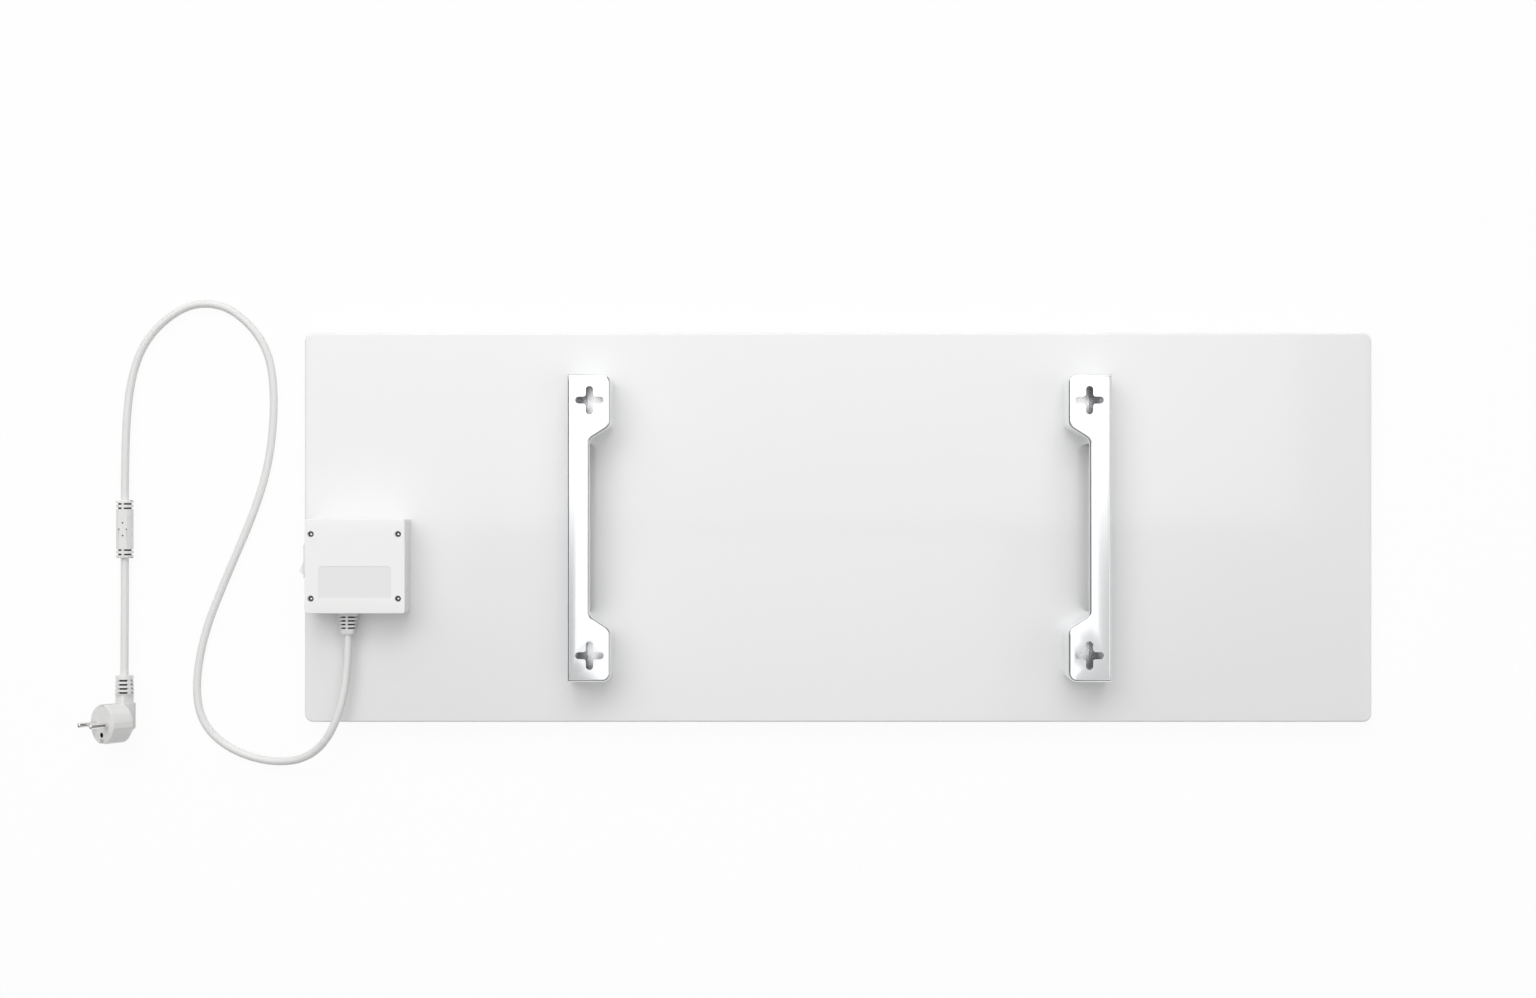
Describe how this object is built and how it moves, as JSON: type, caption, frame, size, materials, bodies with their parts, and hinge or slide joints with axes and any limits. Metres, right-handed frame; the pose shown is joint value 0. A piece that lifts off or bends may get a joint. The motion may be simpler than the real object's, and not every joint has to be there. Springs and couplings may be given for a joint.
{
  "type": "infrared panel heater",
  "caption": "Flat infrared panel heater lying face down: folded wall brackets with cross keyholes, terminal box with rocker switch, mains cord with inline suppressor and angled plug.",
  "frame": {"origin": "middle of the panel's outline, on the surface that the radiant face lies on", "axes": "+X along the panel's length, +Y towards the top edge of the hung heater, +Z out of the back, up while the heater lies on its radiant face"},
  "size_m": [1.2077, 0.4384, 0.055],
  "materials": {
    "panel_white": "white gloss stoved enamel on sheet steel",
    "bracket_white": "white gloss paint on bent steel sheet",
    "bright_steel": "zinc-plated steel of rivets, screws, stud and nuts",
    "box_white": "white moulded plastic, fine satin grain",
    "base_grey": "light grey moulded plastic",
    "rocker_white": "white gloss moulded plastic",
    "cord_white": "off-white PVC cord jacket, satin",
    "plug_white": "off-white moulded PVC, satin",
    "pin_metal": "nickel-plated brass pins and side contacts",
    "copper": "copper and brass of bus bars, terminals and contacts",
    "film": "carbon heating film",
    "mica": "mica insulating sheet",
    "foil": "aluminium reflector foil",
    "wool": "pressed mineral-fibre insulation board",
    "ceramic": "ceramic of the terminal block and cutouts",
    "lead_brown": "brown silicone lead insulation",
    "lead_blue": "blue silicone lead insulation",
    "lead_earth": "green-yellow lead insulation",
    "core_mix": "insulated cores of the mains cord",
    "ferrite": "sintered ferrite",
    "spring_steel": "spring steel",
    "grommet": "black silicone grommet",
    "switch_case": "white moulded plastic of the switch case"
  },
  "bodies": {
    "heater": {"base_rivets": "bright_steel", "bracket_left": "bracket_white", "bracket_right": "bracket_white", "bracket_rivets": "bright_steel", "busbars": "copper", "clamp_screws": "bright_steel", "cord_clamp": "base_grey", "cord_cores": "core_mix", "cord_inlet": "cord_white", "cord_tail": "cord_white", "cover_screws": "bright_steel", "earth_lead": "lead_earth", "earth_lug": "copper", "earth_nuts": "bright_steel", "earth_stud": "bright_steel", "ferrite_core": "ferrite", "front_panel": "panel_white", "heating_film": "film", "inline_cord": "cord_white", "inline_housing": "plug_white", "insulation_board": "wool", "lead_grommet": "grommet", "live_leads": "lead_brown", "mica_sheet": "mica", "neutral_lead": "lead_blue", "plug_body": "plug_white", "plug_bridge": "plug_white", "plug_cord_end": "cord_white", "plug_earth_clips": "pin_metal", "plug_earth_socket": "pin_metal", "plug_pins": "pin_metal", "power_cord": "cord_white", "rear_panel": "panel_white", "reflector_foil": "foil", "strain_relief": "plug_white", "switch_housing": "switch_case", "switch_leads": "lead_brown", "switch_terminals": "copper", "terminal_block": "ceramic", "terminal_box_base": "base_grey", "terminal_box_cover": "box_white", "terminal_screws": "bright_steel", "thermal_cutouts": "ceramic"},
    "rocker": {"switch_rocker": "rocker_white", "switch_plungers": "copper", "plunger_springs": "spring_steel"},
    "levers": {"contact_levers": "copper"}
  },
  "joints": [
    {"name": "rocker_tilt", "type": "hinge", "parent": "heater", "child": "rocker", "pos_m": [-0.4908, -0.031, 0.0355], "axis": [0, 0, 1], "range_deg": [0, 24]},
    {"name": "lever_tilt", "type": "hinge", "parent": "heater", "child": "levers", "pos_m": [-0.4808, -0.031, 0.0355], "axis": [0, 0, 1], "range_deg": [-14, 0]}
  ],
  "couplings": [
    {"joint": "lever_tilt", "follows": "rocker_tilt", "ratio": -0.58333}
  ]
}
